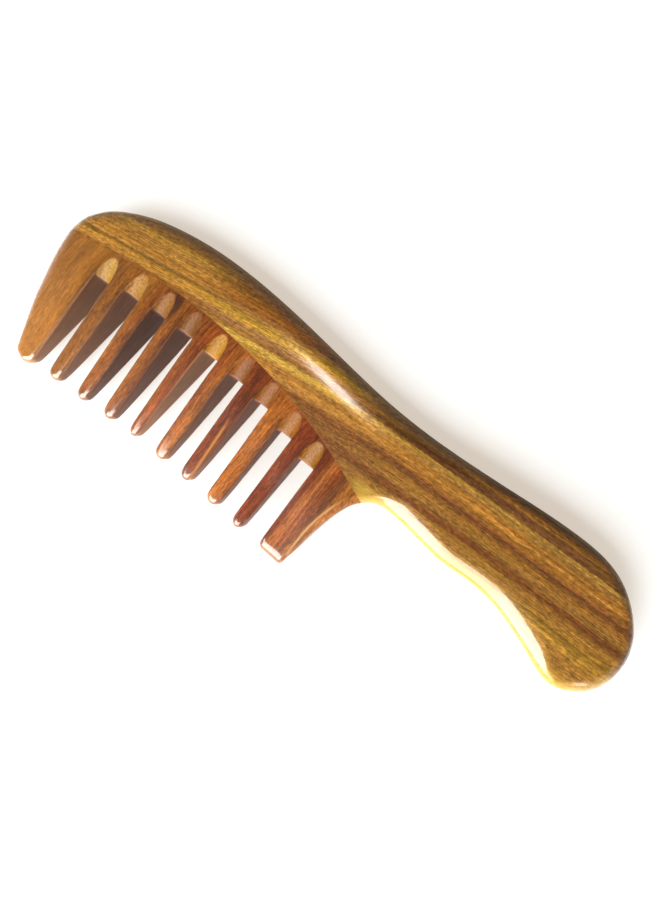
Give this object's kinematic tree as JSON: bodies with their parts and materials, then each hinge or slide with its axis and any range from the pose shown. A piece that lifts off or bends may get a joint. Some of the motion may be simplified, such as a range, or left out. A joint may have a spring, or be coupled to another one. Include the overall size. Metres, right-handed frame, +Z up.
{
  "type": "wide tooth comb",
  "caption": "Wide tooth wooden comb with a shaped handle: a striped spine and grip, with a redder tooth board let into the spine along an arc.",
  "frame": {"origin": "on the flat back face of the handle, half way along the comb and on the long axis of the grip", "axes": "+X along the comb from the head to the butt of the grip, +Y from the tooth tips to the spine, +Z up through the thickness, out of the front face"},
  "size_m": [0.19, 0.0599, 0.011],
  "materials": {
    "handle_wood": "striped gold and brown wood, sanded fine and polished to a soft gloss",
    "tooth_wood": "red-brown wood with the grain along the teeth, sanded fine and polished to a soft gloss",
    "glue": "cured clear tan wood glue, flush with the wood"
  },
  "bodies": {
    "root": {"handle": "handle_wood", "tooth_board": "tooth_wood", "glue_line": "glue"}
  },
  "joints": []
}
